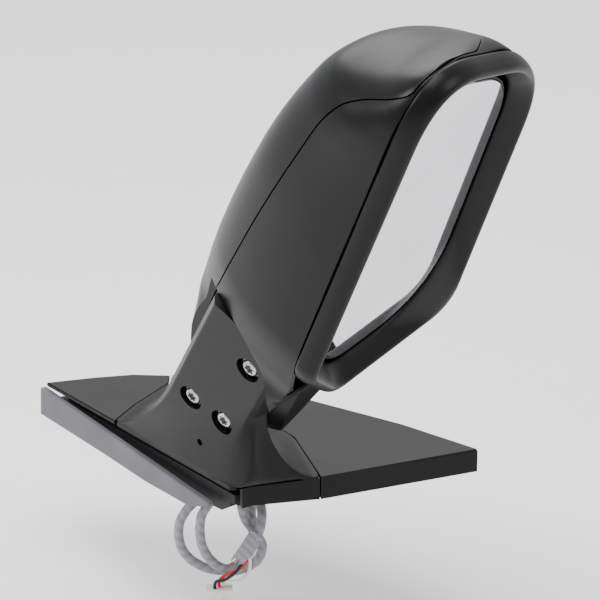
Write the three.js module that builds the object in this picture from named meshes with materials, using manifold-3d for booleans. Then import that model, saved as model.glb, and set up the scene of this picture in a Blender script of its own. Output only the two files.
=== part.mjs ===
// Power door mirror for the left door of a car: base with its bolted arm, folding head, tilting glass.
// Millimetres. +Z points out of the door, +X to the rear of the car, +Y up the car.
// The origin lies on the door face, under the foot of the arm.
import * as THREE from 'three';
import { LoftGeometry } from 'three/addons/geometries/LoftGeometry.js';
import { mergeVertices } from 'three/addons/utils/BufferGeometryUtils.js';
import Module from 'manifold-3d';

const wasm = await Module();
wasm.setup();

// Driving dimensions
const gap = 0.3;                      // clearance between touching pieces
const wall = 2.6;                     // moulded shell thickness

const foldTilt = 17;                  // fold axis above the door face, degrees
const headLean = 28.35;               // head leaned to the rear, degrees
const headRoll = 8;                   // head turned in its glass plane, degrees
const panelPoint = new THREE.Vector3(45, -45, 71);     // a point of the arm's lower panel
const headOffset = [79.6, 35.7];      // lower inboard bezel corner, measured in the panel plane
const pivotX = -4;                    // fold axis in the panel plane
const pivotZ = 24;
const splitRadius = 46;               // round end of the fixed arm
const splitHeight = 12;               // fixed arm thickness along the fold axis

const gasketThickness = 3;
const rimTop = 17;                    // top of the base rim above the door face
const plateTop = 9;

const glassSet = 10;                  // glass behind the lip
const glassThickness = 2.2;
const ballCentre = [85, -24, 58];     // tilt centre in the head frame
const jackLever = 28;
const actuatorBack = -58;
const actuatorFront = -36;

// Frames: x outboard or rear, y along the fold axis or the glass normal, z as named
const axisX = new THREE.Vector3(1, 0, 0);
const foldAxis = new THREE.Vector3(0, Math.cos(rad(foldTilt)), Math.sin(rad(foldTilt)));
const panelUp = new THREE.Vector3().crossVectors(axisX, foldAxis);
const glassNormal = axisX.clone().multiplyScalar(Math.cos(rad(headLean)))
  .addScaledVector(panelUp, -Math.sin(rad(headLean)));
const headOut = panelUp.clone().multiplyScalar(Math.cos(rad(headLean)))
  .addScaledVector(axisX, Math.sin(rad(headLean))).multiplyScalar(Math.cos(rad(headRoll)))
  .addScaledVector(foldAxis, Math.sin(rad(headRoll)));
const headUp = new THREE.Vector3().crossVectors(headOut, glassNormal);
const headPoint = panelPoint.clone().addScaledVector(axisX, headOffset[0])
  .addScaledVector(panelUp, headOffset[1]);
const armFrame = new THREE.Matrix4().makeBasis(axisX, foldAxis, panelUp).setPosition(panelPoint);
const headFrame = new THREE.Matrix4().makeBasis(headOut, glassNormal, headUp).setPosition(headPoint);
const armInHead = headFrame.clone().invert().multiply(armFrame);

function rad(degrees) {
  return degrees * Math.PI / 180;
}

// Solids: closed three.js geometry in and out of manifold-3d
function solid(geometry) {
  const bare = new THREE.BufferGeometry().copy(geometry);
  for (const name of ['normal', 'uv']) bare.deleteAttribute(name);
  const merged = mergeVertices(bare, 1e-4);
  const index = merged.index.array;
  const tris = [];
  for (let i = 0; i < index.length; i += 3) {
    const [a, b, c] = [index[i], index[i + 1], index[i + 2]];
    if (a !== b && b !== c && c !== a) tris.push(a, b, c);
  }
  const mesh = new wasm.Mesh({
    numProp: 3, vertProperties: Float32Array.from(merged.attributes.position.array),
    triVerts: Uint32Array.from(outward(merged.attributes.position, tris)),
  });
  return new wasm.Manifold(mesh);
}

function outward(position, tris) {
  const [a, b, c] = [new THREE.Vector3(), new THREE.Vector3(), new THREE.Vector3()];
  let volume = 0;
  for (let i = 0; i < tris.length; i += 3) {
    a.fromBufferAttribute(position, tris[i]);
    b.fromBufferAttribute(position, tris[i + 1]);
    c.fromBufferAttribute(position, tris[i + 2]);
    volume += a.dot(b.cross(c));
  }
  return volume < 0 ? tris.slice().reverse() : tris;
}

function geometryOf(body) {
  const mesh = body.getMesh();
  const geometry = new THREE.BufferGeometry();
  const points = new Float32Array(mesh.numVert * 3);
  for (let i = 0; i < mesh.numVert; i++) {
    for (let k = 0; k < 3; k++) points[i * 3 + k] = mesh.vertProperties[i * mesh.numProp + k];
  }
  geometry.setAttribute('position', new THREE.BufferAttribute(points, 3));
  geometry.setIndex(Array.from(mesh.triVerts));
  geometry.computeVertexNormals();
  return geometry;
}

const cut = (body, ...tools) => tools.reduce((left, tool) => left.subtract(tool), body);
const join = (body, ...others) => others.reduce((sum, other) => sum.add(other), body);
const moved = (geometry, matrix) => new THREE.BufferGeometry().copy(geometry).applyMatrix4(matrix);

// Prism of a shape: along z from low to high, or along y with the shape in x and z
function prismZ(shape, low, high) {
  const settings = { depth: high - low, bevelEnabled: false, curveSegments: 8 };
  return new THREE.ExtrudeGeometry(shape, settings).translate(0, 0, low);
}

function prismY(shape, low, high) {
  const settings = { depth: high - low, bevelEnabled: false, curveSegments: 8 };
  return new THREE.ExtrudeGeometry(shape, settings).rotateX(Math.PI / 2).translate(0, high, 0);
}

// Round piece about the y axis: [radius, y] pairs closed on themselves or on the axis
function turned(profile, sides = 14) {
  return new THREE.LatheGeometry(profile.map(([r, y]) => new THREE.Vector2(r, y)), sides);
}

function rod(radius, low, high, sides = 10) {
  return turned([[0, low], [radius, low], [radius, high], [0, high]], sides);
}

function ring(inner, outer, low, high, sides = 16) {
  return turned([[inner, low], [outer, low], [outer, high], [inner, high], [inner, low]], sides);
}

// Skin through rows of points, wound so that its faces and caps point out
function loft(rows) {
  const area = new THREE.Vector3();
  const first = rows[0];
  first.forEach((point, i) => {
    const next = first[(i + 1) % first.length];
    area.add(point.clone().sub(first[0]).cross(next.clone().sub(first[0])));
  });
  const last = rows[rows.length - 1];
  const forward = area.dot(last[0].clone().sub(first[0])) > 0;
  const ordered = forward ? rows : rows.map((row) => row.slice().reverse());
  return new LoftGeometry(ordered, { capStart: true, capEnd: true });
}

function tube(points, radius, steps, sides) {
  const section = new THREE.Shape();
  for (let i = 0; i < sides; i++) {
    const angle = 2 * Math.PI * i / sides;
    const [x, y] = [radius * Math.cos(angle), radius * Math.sin(angle)];
    if (i === 0) section.moveTo(x, y);
    else section.lineTo(x, y);
  }
  const curve = new THREE.CatmullRomCurve3(points.map((p) => new THREE.Vector3(...p)), false, 'centripetal');
  return new THREE.ExtrudeGeometry(section, { steps, extrudePath: curve, bevelEnabled: false });
}

// Outline with rounded corners from [x, y, radius] corners, as points
function roundedOutline(corners, arcSteps = 3) {
  const points = [];
  corners.forEach(([x, y, radius], i) => {
    const here = new THREE.Vector2(x, y);
    const [px, py] = corners[(i + corners.length - 1) % corners.length];
    const [nx, ny] = corners[(i + 1) % corners.length];
    const before = new THREE.Vector2(px, py).sub(here).normalize();
    const after = new THREE.Vector2(nx, ny).sub(here).normalize();
    if (radius === 0) {
      points.push(here);
      return;
    }
    const reach = radius / Math.tan(Math.acos(before.dot(after)) / 2);
    const start = here.clone().addScaledVector(before, reach);
    const end = here.clone().addScaledVector(after, reach);
    for (let k = 0; k <= arcSteps; k++) {
      const t = k / arcSteps;
      points.push(start.clone().multiplyScalar((1 - t) ** 2)
        .addScaledVector(here, 2 * t * (1 - t)).addScaledVector(end, t * t));
    }
  });
  return points;
}

// Corners of an outline whose edges have all moved outwards by a distance
function grown(corners, distance) {
  const edges = corners.map(([x, y], i) => {
    const [nx, ny] = corners[(i + 1) % corners.length];
    const along = new THREE.Vector2(nx - x, ny - y).normalize();
    return { along, x: x + along.y * distance, y: y - along.x * distance };
  });
  return corners.map(([, , radius], i) => {
    const [a, b] = [edges[(i + corners.length - 1) % corners.length], edges[i]];
    const t = ((b.x - a.x) * b.along.y - (b.y - a.y) * b.along.x) / a.along.cross(b.along);
    return [a.x + a.along.x * t, a.y + a.along.y * t, Math.max(radius + distance, 0.5)];
  });
}

// The same number of points all round, each pushed outwards by a distance
function offsetOutline(points, distance) {
  return points.map((point, i) => {
    const before = points[(i + points.length - 1) % points.length];
    const after = points[(i + 1) % points.length];
    const along = after.clone().sub(before).normalize();
    return point.clone().add(new THREE.Vector2(along.y, -along.x).multiplyScalar(distance));
  });
}

const shapeOf = (points) => new THREE.Shape(points);
const outlineShape = (corners, grow = 0) => shapeOf(roundedOutline(grown(corners, grow)));
const polygon = (points) => new THREE.Shape(points.map(([x, y]) => new THREE.Vector2(x, y)));
const inArm = (geometry) => solid(moved(geometry, armFrame));

// Smooth value of one column between stations [place, value, ...], without overshoot
function between(stations, column, place) {
  const last = stations.length - 1;
  let i = 0;
  while (i < last - 1 && place > stations[i + 1][0]) i++;
  const slope = (k) => (stations[k + 1][column] - stations[k][column])
    / (stations[k + 1][0] - stations[k][0]);
  const tangent = (k) => {
    if (k === 0 || k === last) return slope(Math.min(k, last - 1));
    const [left, right] = [slope(k - 1), slope(k)];
    return left * right <= 0 ? 0 : 2 * left * right / (left + right);
  };
  const [low, high] = [stations[i], stations[i + 1]];
  const span = high[0] - low[0];
  const t = Math.min(Math.max((place - low[0]) / span, 0), 1);
  const [t2, t3] = [t * t, t * t * t];
  return low[column] * (2 * t3 - 3 * t2 + 1) + tangent(i) * span * (t3 - 2 * t2 + t)
    + high[column] * (3 * t2 - 2 * t3) + tangent(i + 1) * span * (t3 - t2);
}

// Points at equal steps along an open polyline, its last point left out
function steps(points, count) {
  const path = new THREE.CurvePath();
  for (let i = 0; i + 1 < points.length; i++) {
    path.add(new THREE.LineCurve(new THREE.Vector2(...points[i]), new THREE.Vector2(...points[i + 1])));
  }
  return Array.from({ length: count }, (_, i) => path.getPointAt(i / count));
}

// ---- Base

const frontEdge = (x) => -12 - (x + 128) * 0.155;
const frontTurn = -Math.atan(0.155);
const sailCorners = [
  [-130, -12, 3], [47, frontEdge(47), 2], [52, -28, 4], [74, 3, 30], [114, 88, 4],
  [-8, 74, 60], [-84, 46, 40], [-112, 16, 30],
];
const studPlaces = [[-88, 6], [34, 60], [-34, 54]];
const studReach = 14;                 // free thread below the door face
const pinPlace = [-56, 0];
const boltPlaces = [[28, 27.2], [-24.9, -9.4], [-4, -18.3]];   // in the arm frame, x and z
const headSeat = 4.4;                                          // bolt heads bear here
const padTop = 8.6;

// Vertical hole or stud in the base
const upright = ([x, y], radius, low, high) =>
  rod(radius, low, high).rotateX(Math.PI / 2).translate(x, y, 0);
const armHole = ([x, z], radius, low, high) => inArm(rod(radius, low, high).translate(x, 0, z));

function cableOpening(low, high, grow = 0) {
  return solid(prismZ(outlineShape([[8, -16, 4], [34, -16, 4], [34, 6, 4], [8, 6, 4]], grow), low, high));
}

function baseGasket() {
  const sheet = solid(prismZ(outlineShape(sailCorners, -10), 0, gasketThickness));
  const holes = [...studPlaces, pinPlace].map((place) => solid(upright(place, 6, -1, 5)));
  return cut(sheet, cableOpening(-1, gasketThickness + 1, 1.2), ...holes);
}

// Strip of wall that follows the base's front edge: s along the edge, behind it by depth
function frontWall(outline, near, far) {
  return solid(prismY(polygon(outline), near, far).rotateZ(frontTurn).translate(-128, -12, 0));
}

const level = (points, height) => points.map(([x, y]) => new THREE.Vector3(x, y, height));
const armLevel = (points, height) =>
  points.map(([x, y]) => new THREE.Vector3(x, y, height).applyMatrix4(armFrame));

// Die-cast base: plate, apron behind the seal strip, and a web up to the bolting pad
function baseCasting() {
  const low = gasketThickness + gap;
  const plate = solid(prismZ(outlineShape(sailCorners, -5), low, plateTop));
  const apron = frontWall([[12, -1], [60, -5], [110, -8], [160, -5], [168, 0], [168, 12], [12, 12]], 6, 9);
  const web = solid(loft([
    level([[-22, -20], [10, -22], [16, -6], [-20, -4]], plateTop - 3),
    level([[-2, -26], [22, -28], [24, -14], [-2, -12]], 22),
    armLevel([[-42, 4.6], [-18, 4.6], [-18, padTop], [-42, padTop]], -36),
    armLevel([[-34, 4.6], [-6, 4.6], [-6, padTop], [-34, padTop]], -24),
  ]));
  const pad = inArm(prismY(outlineShape(
    [[-42, -30, 6], [-6, -32, 8], [34, 20, 8], [33, 38, 10], [12, 46, 8], [-36, -8, 10]]), headSeat, padTop));
  const holes = [...studPlaces, pinPlace].map((place) => solid(upright(place, 3.4, 0, plateTop + 1)));
  return cut(join(plate, apron, web, pad), cableOpening(-1, plateTop + 1, -1), ...holes,
    ...boltPlaces.map((place) => armHole(place, 3.4, 0, 10)), armHole([pivotX, pivotZ], 6.3, 0, 12));
}

function armBolt() {
  const body = turned([[0, headSeat - 3.4], [2.6, headSeat - 3.4], [4.4, headSeat - 2.8],
    [5.1, headSeat - 1.5], [6, headSeat - 1.2], [6, headSeat - gap], [3, headSeat - gap],
    [3, 9.1], [0, 9.1]], 12);
  const socket = new THREE.CylinderGeometry(1.8, 1.8, 3, 6).translate(0, headSeat - 3.2, 0);
  return cut(solid(body), solid(socket));
}

// Foot cover: four sides flow from the footprint on the base into the leaning arm
const footSides = [
  { foot: [[-60.3, -22.3], [22, -35.1]], arm: [[-41, 0], [16, 0]], count: 7, reach: 10 },
  { foot: [[22, -35.1], [46.6, -38.9], [51.6, -27.5], [72.6, 2.6]],
    arm: [[16, 0], [18.5, 4], [22, splitHeight]], count: 9, reach: 62 },
  { foot: [[72.6, 2.6], [28, 30], [-18, 40], [-76, 35]],
    arm: [[22, splitHeight], [-44, splitHeight]], count: 8, reach: 50 },
  { foot: [[-76, 35], [-68, 0], [-60.3, -22.3]],
    arm: [[-44, splitHeight], [-46, 5], [-41, 0]], count: 6, reach: 36 },
];
const armLevelEnd = -10;
const footSteps = 6;
const armMiddle = [-12, splitHeight / 2];
const armHalf = [34, splitHeight / 2];
const leanStep = new THREE.Vector3(0.6, 0, 0.8);

function footPoint(foot, arm, reach, t, inset) {
  const start = new THREE.Vector3(foot.x, foot.y, rimTop - inset);
  const end = new THREE.Vector3(arm.x, arm.y, armLevelEnd).applyMatrix4(armFrame);
  const inward = new THREE.Vector3(end.x - start.x, end.y - start.y, 0).setLength(reach);
  const rise = leanStep.clone().transformDirection(armFrame).multiplyScalar(start.distanceTo(end));
  const [t2, t3] = [t * t, t * t * t];
  return start.multiplyScalar(2 * t3 - 3 * t2 + 1).addScaledVector(inward, t3 - 2 * t2 + t)
    .addScaledVector(end, 3 * t2 - 2 * t3).addScaledVector(rise, t3 - t2);
}

function footLoft(inset) {
  const sides = footSides.map(({ foot, arm, count, reach }) => ({
    foot: steps(foot, count), arm: steps(arm, count), reach }));
  const feet = offsetOutline(sides.flatMap((side) => side.foot), -inset);
  const arms = sides.flatMap((side) => side.arm).map((point) => new THREE.Vector2(
    armMiddle[0] + (point.x - armMiddle[0]) * (1 - inset / armHalf[0]),
    armMiddle[1] + (point.y - armMiddle[1]) * (1 - inset / armHalf[1])));
  const reaches = sides.flatMap((side) => side.foot.map(() => side.reach));
  const rows = [feet.map((point) => new THREE.Vector3(point.x, point.y, rimTop - (inset ? 6 : 2.6)))];
  for (let i = 0; i <= footSteps; i++) {
    rows.push(feet.map((point, k) => footPoint(point, arms[k], reaches[k], i / footSteps, inset)));
  }
  rows.push(arms.map((point) => new THREE.Vector3(point.x, point.y, armLevelEnd)
    .addScaledVector(leanStep, 100).applyMatrix4(armFrame)));
  return solid(loft(rows));
}

// Everything outboard of the pivot and outside a cylinder about it
function beyondSplit(radius) {
  const slab = solid(new THREE.BoxGeometry(260, 80, 130).translate(0, 0, 65)
    .rotateY(Math.atan2(0.6, 0.8)).translate(pivotX, 0, pivotZ).applyMatrix4(armFrame));
  return cut(slab, inArm(rod(radius, -60, 60, 36).translate(pivotX, 0, pivotZ)));
}

// Room swept by the moving neck: flat over the arm, then a cone up to its own radius
const drumRadius = 70;
const drumTop = 30;
const foldGap = 0.9;                  // between the fixed arm and the moving neck
const foldAngles = [14, 27, 38, 43, 49, 55];  // rearward, where the neck is trimmed to pass the arm

function drum(grow, place = armFrame) {
  const profile = [[0, splitHeight + gap - grow], [splitRadius + grow, splitHeight + gap - grow],
    [drumRadius + grow, drumTop - grow], [drumRadius + grow, 120], [0, 120]];
  return solid(moved(turned(profile, 36).translate(pivotX, 0, pivotZ), place));
}

// Side wall under the rim
function skirt(points, low) {
  return solid(prismZ(polygon(points), low, rimTop - 1));
}

const fixedArm = (grow) => cut(footLoft(-grow), beyondSplit(splitRadius + grow), drum(-grow));

function footCover() {
  const outer = fixedArm(0);
  const inner = cut(footLoft(wall), beyondSplit(splitRadius - wall), drum(wall));
  const side = skirt([[50, -34], [51.8, -27.3], [72.7, 2.8], [70.9, 4.1], [49.8, -26], [47.9, -33.4]], 3.4);
  const holes = boltPlaces.map((place) => armHole(place, 7.4, -5, 6));
  return cut(join(outer, side), inner, ...holes, armHole([pivotX, pivotZ], 11, 5, 20),
    armHole([-25.3, -38.7], 2, -5, 6));
}

function sailFront() {
  return solid(prismZ(polygon([[-129, -12.3], [-60.8, -22.6], [-68.5, 0], [-76.6, 35.4], [-84, 44],
    [-101, 30], [-114, 12]]), rimTop - wall, rimTop));
}

function sailRear() {
  const top = solid(prismZ(polygon([[73.2, 3.2], [112, 87.5], [60, 84], [-8, 72], [-50, 60], [-83, 45.2],
    [-76, 35.7], [-18, 40.6], [28.2, 30.6]]), rimTop - wall, rimTop));
  const side = skirt([[73.2, 3.3], [112.5, 87.8], [109.6, 88], [70.7, 4.9]], 3.4);
  return join(top, side);
}

function sealStrip() {
  return frontWall([[-4, 13.4], [160, 1.4], [160, -1], [140, -7.5], [100, -8], [60, -6], [-5, -4]], -3, 1.2);
}

// Rubber boot round the harness, where it leaves the base
function cableGrommet() {
  const profile = [[2, -10], [5.2, -10], [6.4, -2], [9.8, -2], [9.8, 2.2], [2, 2.2], [2, -10]];
  return solid(turned(profile, 14).rotateX(Math.PI / 2).translate(...cableExit, 0));
}

function doorStud() {
  const profile = [[0, -studReach], [2.6, -studReach], [3, 0.6 - studReach], [3, 9.3], [6, 9.3],
    [6, 12.4], [0, 12.4]];
  return solid(turned(profile, 10).rotateX(Math.PI / 2));
}

function locatingPin() {
  const profile = [[0, -10], [2, -10], [3, -8], [3, 9.3], [4.6, 9.3], [4.6, 11], [0, 11]];
  return solid(turned(profile, 10).rotateX(Math.PI / 2));
}

// ---- Harness, as plain tubes along their route

const cableExit = [21, -5];
const cordDiameter = 5.5;
const wireDiameter = 1.9;
const loopCentre = [12, -8, -31];
const viewRight = [0.731, 0.682];
const viewNear = [0.682, -0.731];
const cordRoute = [
  [8.6, 3.9, 20.7], [9, 3.7, 14.5], [11, 3, 7], [15.5, 2.4, -0.5], [20, 4, -8], [18, 5, -16],
  [11, 5.5, -21.5], [3, 5, -23.5],
  [-6, 4.5, -20], [-12.5, 4, -11], [-14.5, 4, 1], [-13, 4, 11], [-8, 3, 18], [-3, 0, 20], [-10, -3, 19.5],
  [-19, -4, 13], [-25.5, -4, 3], [-26.5, -4, -8], [-23, -4, -18], [-14, -4, -25.5], [-3, -4, -28],
  [7, -4.5, -24], [14, -5, -15], [15.5, -5, -4], [14, -5, 6], [15, -4, 14], [18.5, 0, 16],
  [20, 6.5, 11], [17.5, 10.5, 0], [12, 11, -11],
];

// Route points are [right, near, up] about the middle of the loops, seen from the viewer's side
function routePoint([right, near, up]) {
  return [loopCentre[0] + right * viewRight[0] + near * viewNear[0],
    loopCentre[1] + right * viewRight[1] + near * viewNear[1], loopCentre[2] + up];
}

function cordTube() {
  return solid(tube(cordRoute.map(routePoint), cordDiameter / 2, 48, 8));
}

const wireRoutes = {
  wire_red: [[11.8, 11, -14], [8, 11, -19], [2, 10, -22.5], [-3, 8, -27], [-4, 7.4, -30],
    [-4, 7.4, -32.4]],
  wire_black: [[9.6, 12.8, -13.6], [5.5, 13.6, -20], [-1, 12.6, -25.5], [-5.6, 10, -28],
    [-6.4, 9.4, -30.4], [-6.4, 9.4, -32.4]],
  wire_white: [[13.4, 9.6, -13.4], [12.6, 10.6, -21.5], [8, 10.6, -27], [1, 9, -28.5], [-1.4, 6.6, -30.2],
    [-1.5, 6.5, -32.4]],
};

function wireTube(route) {
  return solid(tube(route.map(routePoint), wireDiameter / 2, 8, 8));
}

// Plug on the wires' ends, with its latch
function harnessPlug() {
  const body = solid(new THREE.BoxGeometry(15, 8.5, 17));
  const latch = solid(new THREE.BoxGeometry(5, 3, 12).translate(0, -5, 2));
  return join(body, latch).rotate([0, 0, 43])
    .translate(routePoint([-4, 8, -41.4]));
}

// ---- Fold pivot, about the arm frame's y axis

const atPivot = (geometry) => inArm(geometry.translate(pivotX, 0, pivotZ));

function pivotPost() {
  return atPivot(turned([[4.5, 3], [6, 3], [6, padTop + gap], [10, padTop + gap], [10, splitHeight + 3.2],
    [8.5, splitHeight + 3.2], [8.5, 57], [4.5, 57], [4.5, 3]], 16));
}

const bodyAtPivot = (body) => atPivot(geometryOf(body));

// Ring on the post whose three lugs run in the groove of the ring that turns with the head
function fixedDetent() {
  const lugs = [0, 120, 240].map((turn) => solid(new THREE.CylinderGeometry(1.5, 2.2, 1.3, 8)
    .translate(10.9, 18.55, 0).rotateY(rad(turn))));
  return bodyAtPivot(join(solid(ring(8.8, 13, 15.5, 18)), ...lugs));
}

function movingDetent() {
  return bodyAtPivot(cut(solid(ring(8.8, 14.4, 18.3, 22)), solid(ring(8, 13.4, 17, 19.6))));
}

function foldSpring() {
  const turns = 4;
  const radius = 11.2;
  const points = Array.from({ length: turns * 12 + 1 }, (_, i) => {
    const angle = 2 * Math.PI * i / 12;
    return [radius * Math.cos(angle), 39 + 12 * i / (turns * 12), radius * Math.sin(angle)];
  });
  return atPivot(tube(points, 1.2, turns * 9, 5));
}

// ---- Head, in the head frame: x outboard, y along the glass normal, z up the glass

const neckStart = -104;
const headEnd = 201;
// place, low, middle, high, front, middle of depth, rear
const headStations = [
  [-104, 6, 30, 44, -70, -55, -32],
  [-92, 3, 31, 52, -79, -56, -26],
  [-72, 0, 33, 66, -86, -56, -22],
  [-54, 0, 37, 82, -92, -50, -19],
  [-38, 0, 41, 102, -97, -34, -16],
  [-26, 0, 44, 118, -101, -16, -13],
  [-10, -4, 47, 130, -102, -12, -12],
  [20, -9, 47, 129, -101, -12, -12],
  [80, -8, 47, 124, -95, -12, -12],
  [140, -6, 46, 116, -80, -12, -12],
  [156, -6, 45, 108, -71, -12, -12],
  [172, -5, 42, 93, -50, -12, -12],
  [181, -3, 39, 82, -38, -12, -12],
  [190, 1, 34, 60, -28, -12, -12],
  [198, 8, 25, 41, -18, -12, -12],
  [headEnd, 17, 25, 32, -14, -12, -12],
];
const frontPower = 2.14;              // roundness of the front half of a section
const rearPower = 5;
const frontSteps = 10;
const rearSteps = 4;
const power = (value, exponent) => Math.sign(value) * Math.abs(value) ** exponent;

// Closed section at x: a superellipse half to the front, a boxier half to the rear
function headSection(x, inset) {
  const columns = [1, 2, 3, 4, 5, 6].map((k) => between(headStations, k, x));
  const [low, middle, high, front, equator, rear] = columns;
  const openRear = rear - equator < 3;
  const rearDepth = openRear ? (inset ? 2 : 0.3) : rear - equator - inset;
  const onCurve = (angle, depth, exponent) => {
    const [c, s] = [Math.cos(angle), Math.sin(angle)];
    const reach = s < 0 ? middle - low - inset : high - middle - inset;
    const y = equator + depth * power(c, 2 / exponent);
    return new THREE.Vector3(x, y, middle + reach * power(s, 2 / exponent));
  };
  const points = [];
  for (let i = 0; i <= frontSteps; i++) {
    points.push(onCurve(-Math.PI / 2 + Math.PI * i / frontSteps, front - equator + inset, frontPower));
  }
  for (let i = 1; i < rearSteps; i++) {
    points.push(onCurve(Math.PI / 2 - Math.PI * i / rearSteps, rearDepth, rearPower));
  }
  return points;
}

const headPlaces = [-92, -74, -60, -48, -38, -30, -20, -10, 20, 56, 92, 122, 144, 160, 174, 186, 195];

function headLoft(inset, start, end) {
  const inside = headPlaces.filter((x) => x > start + 1 && x < end - 1);
  const rows = [start, ...inside, end].map((x) => headSection(x, inset));
  return solid(loft(rows));
}

// Room for the fixed arm: a cylinder about the pivot, open towards the base
function armRoom(radius, height) {
  const shape = new THREE.Shape();
  const back = Math.atan2(0.6, 0.8);
  shape.absarc(0, 0, radius, -back, Math.PI - back, false);
  const [dx, dz] = [0.6 * 130, 0.8 * 130];
  shape.lineTo(-radius * Math.cos(back) - dx, radius * Math.sin(back) - dz);
  shape.lineTo(radius * Math.cos(back) - dx, -radius * Math.sin(back) - dz);
  const prism = prismY(shape, -60, height).translate(pivotX, 0, pivotZ);
  return solid(moved(prism, armInHead));
}

const pivotTool = (geometry) => solid(moved(geometry.translate(pivotX, 0, pivotZ), armInHead));

const seam = [[-130, -84], [-40, -82], [-14, -80], [7, -75], [69, -66], [121, -57], [141, -53],
  [159, -46], [170, -37], [185, -21], [194, -14], [212, -13.5], [240, -13.5]];
const seamGap = 0.9;                  // shadow gap between the cap and the housing

function capRegion(shift) {
  const edge = seam.map(([x, y]) => [x, y + shift]);
  const shape = polygon([...edge, [240, -140], [-130, -140]]);
  return solid(prismZ(shape, -60, 180));
}

// Everything on the base's side of the pivot that the neck must keep clear of
function belowNeck(grow) {
  const slab = solid(moved(new THREE.BoxGeometry(300, 300, 150).translate(0, 0, -75)
    .rotateY(Math.atan2(0.6, 0.8)).translate(pivotX, 0, pivotZ), armInHead));
  return cut(slab, drum(-foldGap - grow, armInHead));
}

// The fixed arm as the head sees it at a fold angle
function armFromHead(angle) {
  const turn = new THREE.Matrix4().makeTranslation(pivotX, 0, pivotZ).multiply(new THREE.Matrix4()
    .makeRotationY(-rad(angle))).multiply(new THREE.Matrix4().makeTranslation(-pivotX, 0, -pivotZ));
  const matrix = armInHead.clone().multiply(turn).multiply(armFrame.clone().invert());
  return solid(geometryOf(fixedArm(foldGap * 0.75)).applyMatrix4(matrix));
}

function headShell() {
  const room = splitRadius + foldGap;
  const outer = cut(headLoft(0, neckStart, headEnd - 0.4),
    armRoom(room, splitHeight + foldGap), belowNeck(0));
  const inner = cut(headLoft(wall, neckStart + wall, headEnd - 3.4),
    armRoom(room + wall, splitHeight + foldGap + wall), belowNeck(wall));
  const opening = solid(prismY(outlineShape(lipCorners, -1), -22, 0));
  return cut(outer, inner, opening, pivotTool(rod(14.5, 8, 17)), ...foldAngles.map(armFromHead));
}

// Bezel: a lip with a deep funnel inside it, swept round the glass opening
const lipCorners = [[6, -5, 18], [210, 1, 30], [163, 113, 75], [-25, 126, 17], [-25, 26, 22]];
const bezelProfile = [[4.6, -11.6], [4.4, -6], [2.6, -1.6], [0, 0], [-1.8, -1], [-8.2, -9.4], [-8.6, -11.8],
  [-6.6, -12.6], [-3, -8.4], [0.6, -8], [1.2, -11.6]];

function bezelFrame() {
  const rows = bezelProfile.map(([out, y]) =>
    roundedOutline(grown(lipCorners, out), 4).map((point) => new THREE.Vector3(point.x, y, point.y)));
  return solid(new LoftGeometry([...rows, rows[0]]));
}

// ---- Glass and its tilting holder

const glassInset = -12.5;
const glassFront = -glassSet;
const holderFront = glassFront - glassThickness - 1.1;
const [ballX, ballY, ballZ] = ballCentre;
const atBall = (geometry, x = 0, z = 0) => geometry.translate(ballX + x, 0, ballZ + z);
const glassShape = (grow) => outlineShape(lipCorners, glassInset + grow);

function mirrorGlass() {
  return solid(prismY(glassShape(0), glassFront - glassThickness, glassFront));
}

function heaterPad() {
  return solid(prismY(glassShape(-3), holderFront + gap, holderFront + gap + 0.5));
}

function glassHolder() {
  const tray = solid(prismY(glassShape(1.2), holderFront - 1.4, glassFront - 0.6));
  const hollow = solid(prismY(glassShape(gap), holderFront, 0));
  const cup = solid(atBall(ring(11.4, 14, ballY - 4, holderFront - 1)));
  return join(cut(tray, hollow), cup);
}

// Friction ring between the ball and the holder's cup
function tiltRing() {
  const profile = [[8.4, -3], [10.5, -3], [10.9, -1.5], [11.1, 0], [10.9, 1.5], [10.5, 3], [8.4, 3],
    [8.4, -3]];
  return solid(atBall(turned(profile, 16).translate(0, ballY, 0)));
}

function ballPost() {
  const arc = Array.from({ length: 7 }, (_, i) => {
    const angle = rad(-50 + 140 * i / 6);
    return [8 * Math.cos(angle), ballY + 8 * Math.sin(angle)];
  });
  arc[6][0] = 0;
  return solid(atBall(turned([[0, -52], [9, -52], [9, -49.5], [4.6, -49.5], [4.6, ballY - 7], ...arc], 14)));
}

// ---- Actuator: two jack screws, each driven by a wheel, worm and motor

const jacks = [
  { x: jackLever, z: 0, alongZ: true },
  { x: 0, z: -jackLever, alongZ: false },
];
const wheelRadius = 9;
const wormOffset = 12.6;

function jackScrew({ x, z }) {
  const profile = [[0, -49], [2.6, -49], [2.6, -22], [1.9, -21.4], [3.2, -19.6], [3.2, -17.8],
    [1.8, -16.4], [0, -16.2]];
  return solid(atBall(turned(profile, 10), x, z));
}

function driveWheel({ x, z }) {
  const teeth = 16;
  const shape = new THREE.Shape();
  for (let i = 0; i < teeth * 2; i++) {
    const angle = Math.PI * (i + 0.5) / teeth;
    const radius = Math.floor(i / 2) * 2 === i ? wheelRadius : wheelRadius - 1.1;
    const point = [radius * Math.cos(angle), radius * Math.sin(angle)];
    if (i === 0) shape.moveTo(...point);
    else shape.lineTo(...point);
  }
  const gear = solid(prismY(shape, -45, -40.5));
  const bore = solid(rod(3, -50, -30));
  return solid(atBall(geometryOf(cut(gear, bore)), x, z));
}

// Turns a piece made along y so that it lies along z or x, beside its wheel
function besideWheel(geometry, { x, z, alongZ }) {
  const turnedPiece = alongZ ? geometry.rotateX(Math.PI / 2) : geometry.rotateZ(Math.PI / 2);
  const [dx, dz] = alongZ ? [x + wormOffset, z] : [x, z - wormOffset];
  return solid(atBall(turnedPiece.translate(0, -42.8, 0), dx, dz));
}

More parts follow.
